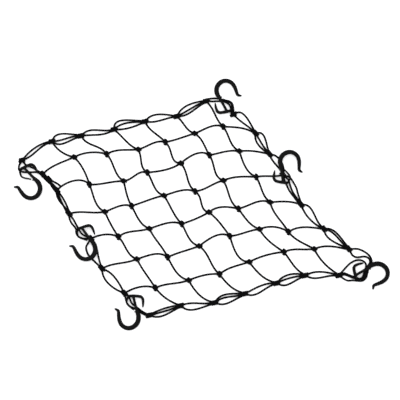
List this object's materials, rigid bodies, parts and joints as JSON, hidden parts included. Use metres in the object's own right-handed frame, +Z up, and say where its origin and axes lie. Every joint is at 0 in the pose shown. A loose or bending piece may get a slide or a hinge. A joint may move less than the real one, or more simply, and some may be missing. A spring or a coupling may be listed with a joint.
{
  "type": "cargo net with hooks",
  "caption": "Flat square net of knotted elastic cord, lying slack, with an edge of laid strands and moulded hooks at its corners and sides, for tying down a load.",
  "frame": {"origin": "middle of the part's box at the surface it lies on", "axes": "+Z up from the surface; +X to the right and +Y to the back, as the net lies skewed on the surface"},
  "size_m": [0.6465, 0.4405, 0.0097],
  "materials": {
    "cord": "matte woven sheath",
    "hook": "moulded satin"
  },
  "bodies": {
    "root": {"mesh_cord": "cord", "edge_cord": "cord", "hook_back_right": "hook", "hook_right_middle": "hook", "hook_right_front": "hook", "hook_left_back": "hook", "hook_left_middle": "hook", "hook_left_front": "hook"}
  },
  "joints": []
}
